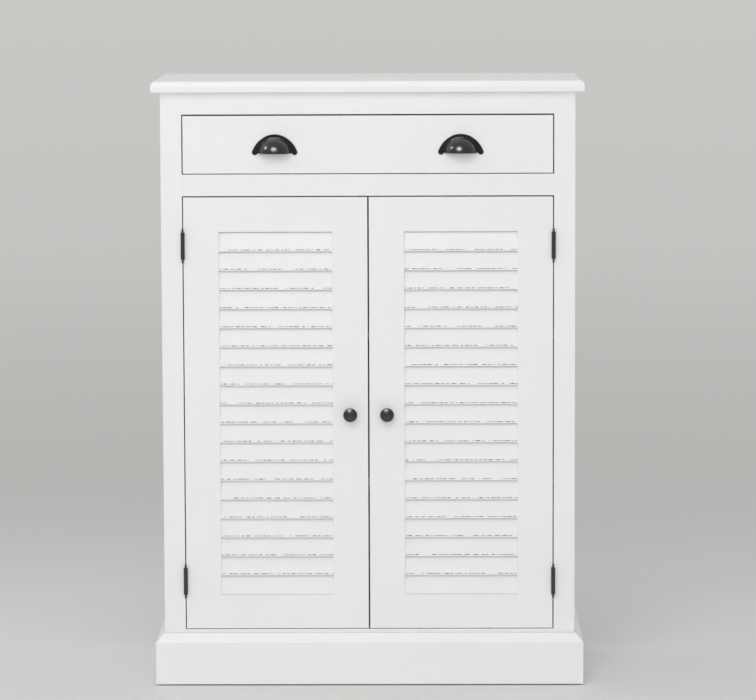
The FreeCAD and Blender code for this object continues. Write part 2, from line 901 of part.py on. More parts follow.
def make_knuckle(end_height, outward, length):
    """Half of the barrel, with the finial beyond its outer end; outward is up or down."""
    axis_foot = Vector(hinge_axis_x, hinge_axis_y, end_height)
    inner_end = -length
    profile = [
        (0, inner_end), (barrel_radius, inner_end), (barrel_radius, -barrel_chamfer),
        (barrel_radius - barrel_chamfer, 0), (finial_neck_radius, 0),
        (finial_neck_radius, finial_neck_length),
        (finial_bulb_radius, 2 * finial_neck_length),
        (finial_tip_radius, finial_length - finial_tip_radius), (0, finial_length),
    ]
    return turned(profile, axis_foot, outward)


def make_leaf(x_low, middle, knuckle_floor, knuckle_top):
    """The flat of a leaf, full height, with a neck that joins it to its own knuckle."""
    x_high = x_low + leaf_thickness
    half = hinge_length / 2
    flat = block(x_low, x_high, leaf_front, leaf_rear, middle - half, middle + half)
    neck = block(x_low, x_high, hinge_axis_y, leaf_front, knuckle_floor, knuckle_top)
    return flat.fuse(neck)


def make_frame_leaf(middle):
    """The leaf on the face frame: lower knuckle, fixed pin and lower finial."""
    half = hinge_length / 2
    knuckle_top = middle - knuckle_gap / 2
    knuckle = make_knuckle(middle - half, downward, half - knuckle_gap / 2)
    pin_foot = Vector(hinge_axis_x, hinge_axis_y, knuckle_top)
    pin = rod(hinge_pin_radius, hinge_pin_reach, pin_foot, upward)
    leaf = make_leaf(opening_half - leaf_thickness, middle, middle - half, knuckle_top)
    solid = knuckle.fuse([leaf, pin])
    return solid.cut(Part.makeCompound(frame_leaf_screws(screw_fit)))


def make_door_leaf(middle):
    """The leaf on the door: upper knuckle, bored for the pin, and upper finial."""
    half = hinge_length / 2
    knuckle_floor = middle + knuckle_gap / 2
    knuckle = make_knuckle(middle + half, upward, half - knuckle_gap / 2)
    leaf = make_leaf(door_hinge_edge, middle, knuckle_floor, middle + half)
    bore_foot = Vector(hinge_axis_x, hinge_axis_y, knuckle_floor - knuckle_gap)
    bore_length = hinge_pin_reach + hinge_bore_spare
    bore = rod(hinge_pin_radius + hinge_pin_clearance, bore_length, bore_foot, upward)
    return knuckle.fuse(leaf).cut(Part.makeCompound([bore] + door_leaf_screws(screw_fit)))


# ---------------------------------------------------------------- catches and fixings
def make_catch():
    """Right magnetic catch: a case hanging from a flange under the divider."""
    flange = block(
        knob_x - catch_width / 2, knob_x + catch_width / 2, catch_front,
        catch_front + catch_depth, divider_floor - catch_flange_thickness, divider_floor)
    case = block(
        knob_x - catch_case_width / 2, knob_x + catch_case_width / 2, catch_front,
        catch_front + catch_depth, divider_floor - catch_height, divider_floor)
    return flange.fuse(case).removeSplitter().cut(Part.makeCompound(catch_screws(screw_fit)))


def catch_screws(growth=0.0):
    """Screws through both ears of both catches, up into the divider."""
    ear_middle = (catch_width + catch_case_width) / 4
    depth = catch_front + catch_depth / 2
    height = divider_floor - catch_flange_thickness
    return [
        wood_screw(Vector(side * (knob_x + offset), depth, height), upward,
                   catch_screw_length, growth)
        for side in (-1, 1) for offset in (-ear_middle, ear_middle)
    ]


def strike_middle():
    return door_top - strike_drop - strike_height / 2


def make_strike_plate():
    low = strike_middle() - strike_height / 2
    plate = block(
        knob_x - strike_width / 2, knob_x + strike_width / 2, door_thickness,
        door_thickness + strike_thickness, low, low + strike_height)
    return plate.cut(strike_screw(screw_fit))


def strike_screw(growth=0.0):
    head = Vector(knob_x, door_thickness + strike_thickness, strike_middle())
    return small_screw(head, to_front, growth)


def top_screws(growth=0.0):
    """Screws up through the cleats into the top board."""
    across = inner_half - cleat_size / 2
    depths = [
        frame_thickness + screw_end_distance,
        (frame_thickness + rear_rail_front) / 2,
        rear_rail_front - screw_end_distance,
    ]
    return [
        wood_screw(Vector(side * across, depth, body_height - cleat_size), upward,
                   top_screw_length, growth)
        for side in (-1, 1) for depth in depths
    ]


def back_screws(growth=0.0):
    """Screws through the back panel into the rear rails and the side panels."""
    rear = panel_rear + back_thickness
    rail_reach = inner_half - screw_end_distance
    side_across = inner_half + back_rebate_width / 2
    places = []
    for rail_floor in rear_rail_floors():
        for across in (-rail_reach, 0, rail_reach):
            places.append(Vector(across, rear, rail_floor + rear_rail_height / 2))
    for side in (-1, 1):
        for height in (lower_shelf_height, upper_shelf_height):
            places.append(Vector(side * side_across, rear, height))
    return [wood_screw(place, to_front, back_screw_length, growth) for place in places]


# ---------------------------------------------------------------- the whole cabinet
def make_pair(name, piece):
    """Writes a piece made for the right side and its mirror image for the left."""
    save("right_" + name, piece)
    save("left_" + name, mirrored(piece))


def make_cabinet():
    save("top_board", make_top_board())
    make_pair("side_panel", make_side_panel())
    make_pair("face_stile", make_frame_stile())
    for which in ("top", "middle", "bottom"):
        save("face_" + which + "_rail", make_frame_rail(which))
    save("cabinet_bottom", make_housed_panel(bottom_panel_floor))
    save("drawer_divider", make_divider())
    save("back_panel", make_back_panel())
    save("rear_rails", make_rear_rails())
    save("lower_shelf", make_shelf(lower_shelf_height))
    save("upper_shelf", make_shelf(upper_shelf_height))
    save("shelf_pins", make_shelf_pins())
    save("plinth_front", make_plinth_front())
    make_pair("plinth_side", make_plinth_side())
    save("glue_blocks", make_glue_blocks())
    save("top_cleats", make_top_cleats())
    make_pair("drawer_runner", make_drawer_runner())
    save("drawer_kickers", make_drawer_kickers())
    save("drawer_stops", make_drawer_stops())
    save("magnetic_catches", both_sides(make_catch()))
    save("top_board_screws", Part.makeCompound(top_screws()))
    save("back_panel_screws", Part.makeCompound(back_screws()))
    save("catch_screws", Part.makeCompound(catch_screws()))


def make_drawer():
    save("drawer_front", make_drawer_front())
    save("drawer_right_side", make_drawer_side())
    save("drawer_left_side", mirrored(make_drawer_side()))
    save("drawer_bottom", make_drawer_bottom())
    save("drawer_back", make_drawer_back())
    save("cup_pulls", both_sides(make_cup_pull()))
    save("pull_screws", make_pull_screws())


def make_doors():
    make_pair("door_hinge_stile", make_hinge_stile())
    make_pair("door_meeting_stile", make_meeting_stile())
    make_pair("door_bottom_rail", make_door_rail(door_floor))
    make_pair("door_top_rail", make_door_rail(louvre_top))
    make_pair("door_louvres", make_louvres())
    make_pair("door_knob", make_knob())
    make_pair("knob_screw", make_knob_screw())
    make_pair("strike_plate", make_strike_plate())
    make_pair("door_screws", Part.makeCompound(door_leaf_screws() + [strike_screw()]))


def make_hinges():
    frame_leaves = [make_frame_leaf(middle) for middle in hinge_heights]
    door_leaves = [make_door_leaf(middle) for middle in hinge_heights]
    make_pair("hinge_frame_leaves", Part.makeCompound(frame_leaves))
    make_pair("hinge_door_leaves", Part.makeCompound(door_leaves))
    save("hinge_frame_screws", both_sides(Part.makeCompound(frame_leaf_screws())))


os.makedirs("parts", exist_ok=True)
make_cabinet()
make_drawer()
make_doors()
make_hinges()
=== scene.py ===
"""Looks of the louvred door cabinet: finishes, softened arrises, plinth, light and camera."""

import json
import math

import bmesh
import bpy
from mathutils import Matrix, Vector


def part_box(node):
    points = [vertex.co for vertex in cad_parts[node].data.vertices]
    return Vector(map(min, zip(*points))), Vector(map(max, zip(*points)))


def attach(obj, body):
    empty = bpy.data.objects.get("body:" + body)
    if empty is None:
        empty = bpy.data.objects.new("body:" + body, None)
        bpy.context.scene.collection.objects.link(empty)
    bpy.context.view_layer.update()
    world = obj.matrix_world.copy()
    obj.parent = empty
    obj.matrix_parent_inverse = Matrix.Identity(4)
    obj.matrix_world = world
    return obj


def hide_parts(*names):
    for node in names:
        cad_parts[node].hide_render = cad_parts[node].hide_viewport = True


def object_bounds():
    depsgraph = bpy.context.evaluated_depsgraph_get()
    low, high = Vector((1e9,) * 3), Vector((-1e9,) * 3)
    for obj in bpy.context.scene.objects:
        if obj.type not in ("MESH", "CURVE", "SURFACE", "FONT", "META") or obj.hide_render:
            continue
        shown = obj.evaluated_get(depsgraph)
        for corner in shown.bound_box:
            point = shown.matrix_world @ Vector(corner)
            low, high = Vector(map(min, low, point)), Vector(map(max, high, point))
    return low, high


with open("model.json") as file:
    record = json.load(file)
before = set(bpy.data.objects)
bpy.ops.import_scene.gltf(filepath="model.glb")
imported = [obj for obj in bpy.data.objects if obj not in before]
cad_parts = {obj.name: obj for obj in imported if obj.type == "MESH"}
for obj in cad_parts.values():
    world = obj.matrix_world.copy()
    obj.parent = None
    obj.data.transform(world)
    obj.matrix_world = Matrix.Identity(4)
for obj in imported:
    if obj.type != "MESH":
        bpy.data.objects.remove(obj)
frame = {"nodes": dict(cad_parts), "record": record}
cad_low, cad_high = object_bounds()
nodes = frame["nodes"]
slot_of = {row["node"]: row["material_slot"] for row in frame["record"]["subparts"]}

# ---------------------------------------------------------------- colours
PAINT = (0.872, 0.874, 0.872)
PAINT_AGED = (0.800, 0.798, 0.786)
# Painted light: the lighter white given to faces that look up.
PAINT_LIT_FACING_UP = (0.925, 0.926, 0.922)
RUBBED = (0.170, 0.140, 0.115)
# Painted shade: the dark line in the louvres' creases under each nose.
CREASE_SHADE = (0.300, 0.290, 0.275)
PINE_LIGHT = (0.700, 0.530, 0.345)
PINE_DARK = (0.500, 0.320, 0.170)
BOARD_LIGHT = (0.470, 0.350, 0.230)
BOARD_DARK = (0.270, 0.180, 0.105)
BRONZE = (0.032, 0.031, 0.035)
BRONZE_WARM = (0.032, 0.024, 0.018)
BRONZE_PLATE = (0.016, 0.011, 0.007)
IRON = (0.064, 0.062, 0.060)
ZINC = (0.560, 0.560, 0.545)
ZINC_DULL = (0.420, 0.420, 0.400)
PLASTIC = (0.780, 0.765, 0.720)
PLASTIC_DARK = (0.700, 0.680, 0.630)
FLOOR_PALE = (0.805, 0.800, 0.790)
WALL_HIGH = (0.590, 0.582, 0.568)
WALL_GREY = (0.550, 0.543, 0.530)
WALL_FOOT = (0.455, 0.450, 0.438)
ROOM_GREY = (0.160, 0.158, 0.155)

# ---------------------------------------------------------------- sizes in metres, angles in radians
ARRIS_ROUND = 0.0007
JOINT_ROUND = 0.0002
BARE_WOOD_ROUND = 0.0008
SHORTEST_ARRIS = 0.004
SHARP_ANGLE = math.radians(35)
FLAT_ANGLE = math.radians(0.5)
SAME_CORNER = 1e-6
SAME_PLANE = 1e-5
FAR = 1.0

ARRIS_RUB = 0.0009
ARRIS_RUB_FADE = 0.0004
NOSE_RUB = 0.0013
NOSE_RUB_FADE = 0.0003
NOSE_RUB_RISE = 0.0007
NOSE_RUB_DEPTH = 0.0025
# Depth behind the noses and height under them of the painted shade in the louvres' creases.
CREASE_DEPTH = 0.008
CREASE_WIDTH = 0.0012
PULL_FLANGE = 0.0022
PULL_FLANGE_FADE = 0.001

PLINTH_FOOT = 0.0024
PLINTH_TOP = 0.0977
PLINTH_THICKNESS = 0.0165
PLINTH_BEVEL_WIDTH = 0.0140
PLINTH_BEVEL_HEIGHT = 0.0167

FLOOR_RADIUS = 30.0
FLOOR_FADE_START = 1.0
FLOOR_FADE_END = 2.8
WALL_FOOT_START = 2.0
WALL_FOOT_END = 9.0
ROOM_START = -1.5
ROOM_END = -5.0

CAMERA_RIGHT = 0.0972
CAMERA_DISTANCE = 7.0
CAMERA_HEIGHT = 1.4178
CAMERA_PITCH = 0.11203
CAMERA_YAW = -0.01136
CAMERA_ROLL = -0.00368
CAMERA_LENS_MM = 180.5
CAMERA_SENSOR_MM = 36.0

# ---------------------------------------------------------------- values without a unit
PAINT_SPECULAR = 0.25
BRONZE_SPECULAR = 0.6
PULL_POLISH = 0.19
KNOB_POLISH = 0.25
NEXT_SLAT_NOISE = 3.7
WORLD_STRENGTH = 0.48

# The upward part of a surface's normal, from which it counts as facing up and its paint turns
# lighter: painted light from above.
FACING_UP_START = 0.50
FACING_UP_END = 0.62

# The upward and the backward part of a direction of view, between which the surroundings change.
WALL_LOW_Z = -0.09
WALL_HIGH_Z = -0.01
ROOM_Y = -0.75
WALL_Y = 0.15


# ---------------------------------------------------------------- node graph helpers
class Graph:
    """Builds the node tree of its owner: a material, the world or a modifier's group."""

    def __init__(self, owner, tree):
        self.owner = owner
        self.tree = tree
        self.tree.nodes.clear()

    def fill(self, socket, value):
        """Links a socket to another node's output, or sets the value that it is given."""
        if isinstance(value, bpy.types.NodeSocket):
            self.tree.links.new(value, socket)
        else:
            socket.default_value = value

    def add(self, kind, inputs=None, family="ShaderNode", **settings):
        made = self.tree.nodes.new(family + kind)
        for key, value in settings.items():
            setattr(made, key, value)
        for key, value in (inputs or {}).items():
            self.fill(made.inputs[key], value)
        return made

    def math(self, operation, first, second=0.0, clamp=False):
        inputs = {0: first, 1: second}
        return self.add("Math", inputs, operation=operation, use_clamp=clamp).outputs[0]

    def vector_math(self, operation, first, second):
        return self.add("VectorMath", {0: first, 1: second}, operation=operation).outputs[0]

    def parts(self, vector):
        """A vector's x, y and z."""
        return self.add("SeparateXYZ", {0: vector}).outputs

    def place(self):
        return self.add("TexCoord").outputs["Object"]

    def stretched(self, vector, along, across_scale, along_scale):
        """Coordinates that stretch a noise out along one axis."""
        scale = [across_scale] * 3
        scale[along] = along_scale
        return self.add("Mapping", {"Vector": vector, "Scale": tuple(scale)}).outputs[0]

    def noise(self, vector, scale, detail, roughness):
        inputs = {"Vector": vector, "Scale": scale, "Detail": detail, "Roughness": roughness}
        return self.add("TexNoise", inputs).outputs[0]

    def remap(self, value, low, high, to_low=0.0, to_high=1.0):
        inputs = {0: value, 1: low, 2: high, 3: to_low, 4: to_high}
        return self.add("MapRange", inputs, clamp=True).outputs[0]

    def blend(self, amount, first, second):
        """Goes from the first colour to the second, each a socket or red, green and blue."""
        made = self.add("Mix", data_type="RGBA")
        self.fill(made.inputs[0], amount)
        for socket, colour in ((made.inputs[6], first), (made.inputs[7], second)):
            self.fill(socket, (*colour, 1.0) if isinstance(colour, tuple) else colour)
        return made.outputs[2]

    def bump(self, height, strength, distance, normal=None):
        inputs = {"Height": height, "Strength": strength, "Distance": distance}
        if normal is not None:
            inputs["Normal"] = normal
        return self.add("Bump", inputs).outputs[0]

    def sent_on(self, rays):
        """1 for the rays that a mirror or glass sends on, and 0 for others."""
        return self.math("MAXIMUM", rays["Is Glossy Ray"], rays["Is Transmission Ray"])

    def surface(self, colour, roughness, normal, metallic=0.0, specular=0.5):
        """Ends the graph in a shader and returns its material."""
        shader = self.add("BsdfPrincipled", {
            "Base Color": colour, "Roughness": roughness, "Normal": normal,
            "Metallic": metallic, "Specular IOR Level": specular})
        self.add("OutputMaterial", {"Surface": shader.outputs[0]})
        return self.owner


def new_graph(name):
    material = bpy.data.materials.new(name)
    material.use_nodes = True
    return Graph(material, material.node_tree)


# ---------------------------------------------------------------- measures of the CAD's pieces
def grain_axis(node):
    """The axis that a board's grain runs along: its longest."""
    low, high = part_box(node)
    size = high - low
    return max(range(3), key=lambda axis: size[axis])


def free_box(node):
    """A board's box, carried past where it meets another board or the floor."""
    low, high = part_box(node)
    if node.endswith("_rail"):
        low.x -= FAR
        high.x += FAR
    elif node in ("left_face_stile", "left_door_hinge_stile", "right_door_meeting_stile"):
        high.x += FAR
    elif node.endswith("_stile"):
        low.x -= FAR
    elif node.startswith("plinth") or node.endswith("_plinth_side"):
        low.z -= FAR
    return low, high


def louvre_noses(node):
    """The noses' front, the lowest one's underside, the noses' height, and the slats' pitch."""
    vertices = nodes[node].data.vertices
    front = min(vertex.co.y for vertex in vertices)
    in_front = (vertex.co for vertex in vertices if vertex.co.y < front + SAME_PLANE)
    heights = sorted({round(corner.z, 5) for corner in in_front})
    return front, heights[0], heights[1] - heights[0], heights[2] - heights[0]


# ---------------------------------------------------------------- finishes
def arris_distance(graph, place, low, high):
    """Distance from a point on a board to its nearest arris."""
    to_low = graph.vector_math("SUBTRACT", place, tuple(low))
    to_high = graph.vector_math("SUBTRACT", tuple(high), place)
    x, y, z = graph.parts(graph.vector_math("MINIMUM", to_low, to_high))
    lesser = graph.math("MINIMUM", x, y)
    greater = graph.math("MAXIMUM", x, y)
    return graph.math("MAXIMUM", lesser, graph.math("MINIMUM", greater, z))


def arris_rub(graph, place, node):
    """Distance to a board's nearest arris, and how far the rub reaches in from it."""
    patches = graph.noise(place, scale=34.0, detail=4.0, roughness=0.68)
    width = graph.remap(patches, 0.57, 0.76, to_high=ARRIS_RUB)
    return arris_distance(graph, place, *free_box(node)), width


def nose_distance(graph, place, first_lane, pitch):
    """Distance from a point on a slat to the rubbed lane on its nose, and the slat's number."""
    height = graph.math("SUBTRACT", graph.parts(place)[2], first_lane)
    step = graph.math("DIVIDE", height, pitch)
    number = graph.math("ROUND", step)
    away = graph.math("ABSOLUTE", graph.math("SUBTRACT", step, number))
    return graph.math("MULTIPLY", away, pitch), number


def nose_rub(graph, place, front, first_lane, pitch):
    """Distance to the rubbed lane on a slat's nose, and the width of the rub, 0 at its gaps."""
    in_front = graph.math("LESS_THAN", graph.parts(place)[1], front + NOSE_RUB_DEPTH)
    edge, number = nose_distance(graph, place, first_lane, pitch)
    above_lowest = graph.math("GREATER_THAN", number, 0.5)
    shift = graph.math("MULTIPLY", number, NEXT_SLAT_NOISE)
    sideways = graph.stretched(place, along=0, across_scale=0.0, along_scale=30.0)
    lane = graph.vector_math("ADD", sideways, graph.add("CombineXYZ", {0: shift}).outputs[0])
    finer_lane = graph.vector_math("MULTIPLY", lane, (4.3, 1.0, 1.0))
    stretches = graph.noise(lane, scale=1.0, detail=2.0, roughness=0.5)
    breaks = graph.noise(finer_lane, scale=1.0, detail=4.0, roughness=0.7)
    width = graph.remap(breaks, 0.42, 0.58, to_high=NOSE_RUB)
    for share in (graph.remap(stretches, 0.40, 0.46), above_lowest, in_front):
        width = graph.math("MULTIPLY", width, share)
    return edge, width


def crease_painted_shade(graph, place, front, first_underside, pitch):
    """How much painted shade darkens the crease where a slat runs up behind the nose above it,
    standing in for the nose's shadow.
    """
    _, depth, rise = graph.parts(place)
    height = graph.math("SUBTRACT", rise, first_underside)
    step = graph.math("FRACT", graph.math("DIVIDE", height, -pitch))
    under = graph.math("MULTIPLY", step, pitch)
    painted_shade = graph.remap(under, CREASE_WIDTH, 0.5 * CREASE_WIDTH, to_high=0.75)
    return graph.math("MULTIPLY", painted_shade, graph.math("LESS_THAN", depth, front + CREASE_DEPTH))


def painted(node, along):
    """Brushed white paint over wood, rubbed through here and there on the arrises, with painted
    light on faces that look up and painted shade in the louvres' creases.
    """
    graph = new_graph("white_paint_" + node)
    place = graph.place()
    strokes = graph.stretched(place, along, across_scale=420.0, along_scale=9.0)
    grain = graph.noise(strokes, scale=1.0, detail=4.0, roughness=0.6)
    cloud = graph.noise(place, scale=7.0, detail=3.0, roughness=0.5)
    slatted = node.endswith("_louvres")
    if slatted:
        front, underside, nose_height, pitch = louvre_noses(node)
        first_lane = underside + nose_height + NOSE_RUB_RISE
        edge, width = nose_rub(graph, place, front, first_lane, pitch)
        fade = NOSE_RUB_FADE
    else:
        edge, width = arris_rub(graph, place, node)
        fade = ARRIS_RUB_FADE
    worn = graph.math("DIVIDE", graph.math("SUBTRACT", width, edge), fade, clamp=True)
    # Painted light: faces that look up, such as the plinth's bevel and the top's round-over, are
    # painted a lighter white, standing in for light from above.
    upwards = graph.parts(graph.add("NewGeometry").outputs["Normal"])[2]
    painted_top_light = graph.remap(upwards, FACING_UP_START, FACING_UP_END)
    colour = graph.blend(painted_top_light, PAINT, PAINT_LIT_FACING_UP)
    colour = graph.blend(graph.remap(cloud, 0.35, 0.75, to_high=0.16), colour, PAINT_AGED)
    colour = graph.blend(graph.remap(grain, 0.3, 0.7, to_high=0.10), colour, PAINT_AGED)
    colour = graph.blend(graph.math("MULTIPLY", worn, 0.85), colour, RUBBED)
    if slatted:
        # Painted shade: a dark line under each slat's nose, where the nose above would shade it.
        colour = graph.blend(crease_painted_shade(graph, place, front, underside, pitch), colour, CREASE_SHADE)
    roughness = graph.remap(grain, 0.3, 0.7, to_low=0.42, to_high=0.54)
    normal = graph.bump(grain, strength=0.10, distance=0.0006)
    hollow = graph.math("MULTIPLY", worn, -1.0)
    normal = graph.bump(hollow, strength=0.25, distance=0.0004, normal=normal)
    return graph.surface(colour, roughness, normal, specular=PAINT_SPECULAR)


def pine(name, along):
    """Unfinished planed pine with its grain along one axis."""
    graph = new_graph(name)
    place = graph.place()
    growth = graph.stretched(place, along, across_scale=26.0, along_scale=1.6)
    figure = graph.noise(growth, scale=1.0, detail=6.0, roughness=0.62)
    fine = graph.stretched(place, along, across_scale=900.0, along_scale=20.0)
    pores = graph.noise(fine, scale=1.0, detail=2.0, roughness=0.5)
    rings = graph.math("FRACT", graph.math("MULTIPLY", figure, 7.0))
    colour = graph.blend(graph.remap(rings, 0.0, 1.0, to_high=0.8), PINE_LIGHT, PINE_DARK)
    colour = graph.blend(graph.remap(pores, 0.4, 0.7, to_high=0.3), colour, PINE_DARK)
    roughness = graph.remap(pores, 0.3, 0.7, to_low=0.55, to_high=0.72)
    return graph.surface(colour, roughness, graph.bump(pores, strength=0.15, distance=0.0003))


def hardboard():
    """Thin pressed board: mottled, with long pressed fibres and a few darker smudges."""
    graph = new_graph("pressed_board")
    place = graph.place()
    speck = graph.noise(place, scale=620.0, detail=3.0, roughness=0.7)
    pressed = graph.stretched(place, along=2, across_scale=160.0, along_scale=24.0)
    fibres = graph.noise(pressed, scale=1.0, detail=5.0, roughness=0.7)
    cloud = graph.noise(place, scale=3.2, detail=4.0, roughness=0.62)
    smeared = graph.stretched(place, along=2, across_scale=9.0, along_scale=3.0)
    smudge = graph.noise(smeared, scale=1.0, detail=3.0, roughness=0.6)
    colour = graph.blend(graph.remap(speck, 0.35, 0.68), BOARD_LIGHT, BOARD_DARK)
    colour = graph.blend(graph.remap(fibres, 0.42, 0.72, to_high=0.55), colour, BOARD_DARK)
    colour = graph.blend(graph.remap(cloud, 0.35, 0.70, to_high=0.45), colour, BOARD_LIGHT)
    colour = graph.blend(graph.remap(smudge, 0.56, 0.76, to_high=0.35), colour, BOARD_DARK)
    roughness = graph.remap(fibres, 0.3, 0.7, to_low=0.52, to_high=0.70)
    return graph.surface(colour, roughness, graph.bump(speck, strength=0.12, distance=0.0002))


def bronze(name, polish, mottle, plate_front=None):
    """Nearly black lacquered bronze, warmer in patches and on a plate behind plate_front.

    polish is its least roughness, and mottle how strongly the patches show.
    """
    graph = new_graph(name)
    place = graph.place()
    cast = graph.noise(place, scale=700.0, detail=3.0, roughness=0.6)
    patina = graph.noise(place, scale=90.0, detail=5.0, roughness=0.7)
    colour = graph.blend(graph.remap(patina, 0.46, 0.70, to_high=mottle), BRONZE, BRONZE_WARM)
    if plate_front is not None:
        depth = graph.parts(place)[1]
        on_plate = graph.remap(depth, plate_front - PULL_FLANGE_FADE, plate_front)
        colour = graph.blend(on_plate, colour, BRONZE_PLATE)
    roughness = graph.remap(patina, 0.3, 0.75, to_low=polish, to_high=1.5 * polish)
    normal = graph.bump(cast, strength=0.04, distance=0.0002)
    return graph.surface(colour, roughness, normal, specular=BRONZE_SPECULAR)


def iron():
    """Black lacquered iron."""
    graph = new_graph("black_iron")
    place = graph.place()
    cast = graph.noise(place, scale=900.0, detail=2.0, roughness=0.5)
    wear = graph.noise(place, scale=150.0, detail=3.0, roughness=0.6)
    colour = graph.blend(graph.remap(wear, 0.55, 0.8, to_high=0.5), IRON, BRONZE_WARM)
    roughness = graph.remap(wear, 0.3, 0.7, to_low=0.32, to_high=0.46)
    normal = graph.bump(cast, strength=0.05, distance=0.0002)
    return graph.surface(colour, roughness, normal, metallic=0.6)


def zinc():
    """Zinc-plated steel, a little mottled."""
    graph = new_graph("zinc_steel")
    mottle = graph.noise(graph.place(), scale=260.0, detail=3.0, roughness=0.6)
    colour = graph.blend(graph.remap(mottle, 0.35, 0.7), ZINC, ZINC_DULL)
    roughness = graph.remap(mottle, 0.3, 0.7, to_low=0.28, to_high=0.44)
    normal = graph.bump(mottle, strength=0.04, distance=0.0002)
    return graph.surface(colour, roughness, normal, metallic=1.0)


def plastic():
    """Off-white moulded plastic with a fine grain."""
    graph = new_graph("catch_plastic")
    grain = graph.noise(graph.place(), scale=1400.0, detail=2.0, roughness=0.5)
    colour = graph.blend(graph.remap(grain, 0.3, 0.7, to_high=0.3), PLASTIC, PLASTIC_DARK)
    roughness = graph.remap(grain, 0.3, 0.7, to_low=0.42, to_high=0.52)
    return graph.surface(colour, roughness, graph.bump(grain, strength=0.08, distance=0.0001))


def set_material(node, material):
    slots = nodes[node].data.materials
    slots.clear()
    slots.append(material)


# ---------------------------------------------------------------- arrises and plinth
def mark_arrises():
    """A node group that gives a bevel weight to long sharp edges, and none to holes' rims."""
    group = bpy.data.node_groups.new("mark_arrises", "GeometryNodeTree")
    for direction in ("INPUT", "OUTPUT"):
        group.interface.new_socket(
            name="Geometry", in_out=direction, socket_type="NodeSocketGeometry")
    graph = Graph(group, group)
    given = graph.add("GroupInput", family="Node").outputs[0]
    ends = graph.add("InputMeshEdgeVertices", family="GeometryNode").outputs
    angle = graph.add("InputMeshEdgeAngle", family="GeometryNode").outputs["Unsigned Angle"]
    between = {0: ends["Position 1"], 1: ends["Position 2"]}
    length = graph.add("VectorMath", between, operation="DISTANCE").outputs["Value"]
    is_long = graph.math("GREATER_THAN", length, SHORTEST_ARRIS)
    is_sharp = graph.math("GREATER_THAN", angle, SHARP_ANGLE)
    weight = graph.math("MULTIPLY", is_long, is_sharp)
    inputs = {"Geometry": given, "Name": "bevel_weight_edge", "Value": weight}
    marked = graph.add(
        "StoreNamedAttribute", inputs, family="GeometryNode", data_type="FLOAT", domain="EDGE")
    graph.add("GroupOutput", {0: marked.outputs[0]}, family="Node")
    return group


def ease_arrises(obj, width):
    """Joins a piece's split corners in a modifier and rounds its long sharp arrises."""
    weld = obj.modifiers.new("join_corners", "WELD")
    weld.merge_threshold = SAME_CORNER
    flat = obj.modifiers.new("flat_faces", "DECIMATE")
    flat.decimate_type = "DISSOLVE"
    flat.angle_limit = FLAT_ANGLE
    mark = obj.modifiers.new("mark_arrises", "NODES")
    mark.node_group = arris_marks
    bevel = obj.modifiers.new("soft_arrises", "BEVEL")
    bevel.width = width
    bevel.segments = 2
    bevel.limit_method = "WEIGHT"
    bevel.use_clamp_overlap = False
    bevel.harden_normals = True


def make_plinth(node, section_ends):
    """A plinth board with a wide bevel, in place of the CAD's board with its narrow one.

    section_ends gives, for a distance out from the body, the board's two ends there.
    """
    flat = PLINTH_THICKNESS - PLINTH_BEVEL_WIDTH
    section = [
        (0.0, PLINTH_FOOT),
        (PLINTH_THICKNESS, PLINTH_FOOT),
        (PLINTH_THICKNESS, PLINTH_TOP - PLINTH_BEVEL_HEIGHT),
        (flat, PLINTH_TOP),
        (0.0, PLINTH_TOP)]
    shape = bmesh.new()
    ends = [[], []]
    for outward, height in section:
        for end, (x, y) in zip(ends, section_ends(outward)):
            end.append(shape.verts.new((x, y, height)))
    for end in ends:
        shape.faces.new(end)
    for index in range(len(section)):
        after = (index + 1) % len(section)
        shape.faces.new((ends[0][index], ends[0][after], ends[1][after], ends[1][index]))
    bmesh.ops.recalc_face_normals(shape, faces=shape.faces)
    for face in shape.faces:
        face.smooth = True
    mesh = bpy.data.meshes.new(node + "_moulding")
    shape.to_mesh(mesh)
    shape.free()
    piece = bpy.data.objects.new(node + "_moulding", mesh)
    bpy.context.scene.collection.objects.link(piece)
    mesh.materials.append(painted(node, grain_axis(node)))
    ease_arrises(piece, ARRIS_ROUND)
    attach(piece, "cabinet")
    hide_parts(node)


arris_marks = mark_arrises()
front_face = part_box("left_face_stile")[0].y
body_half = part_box("right_side_panel")[1].x
plinth_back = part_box("right_plinth_side")[1].y
shared = {
    "antique_bronze": bronze(
        "antique_bronze", PULL_POLISH, mottle=0.6, plate_front=front_face - PULL_FLANGE),
    "black_iron": iron(),
    "zinc_steel": zinc(),
    "catch_plastic": plastic(),
    "back_board": hardboard(),
}
knob_bronze = bronze("antique_bronze_knob", KNOB_POLISH, mottle=1.0)
pines = [pine("bare_pine_" + axis, number) for number, axis in enumerate("xyz")]
for node in nodes:
    finish = slot_of[node]
    if finish == "white_paint":
        set_material(node, painted(node, grain_axis(node)))
        glued = node.endswith(("_stile", "_rail", "_louvres"))
        ease_arrises(nodes[node], JOINT_ROUND if glued else ARRIS_ROUND)
    elif finish == "bare_wood":
        set_material(node, pines[grain_axis(node)])
        ease_arrises(nodes[node], BARE_WOOD_ROUND)
    elif node.endswith("_knob"):
        set_material(node, knob_bronze)
    else:
        set_material(node, shared[finish])

make_plinth("plinth_front", lambda out: (
    (-body_half - out, front_face - out), (body_half + out, front_face - out)))
make_plinth("left_plinth_side", lambda out: (
    (-body_half - out, front_face - out), (-body_half - out, plinth_back)))
make_plinth("right_plinth_side", lambda out: (
    (body_half + out, front_face - out), (body_half + out, plinth_back)))


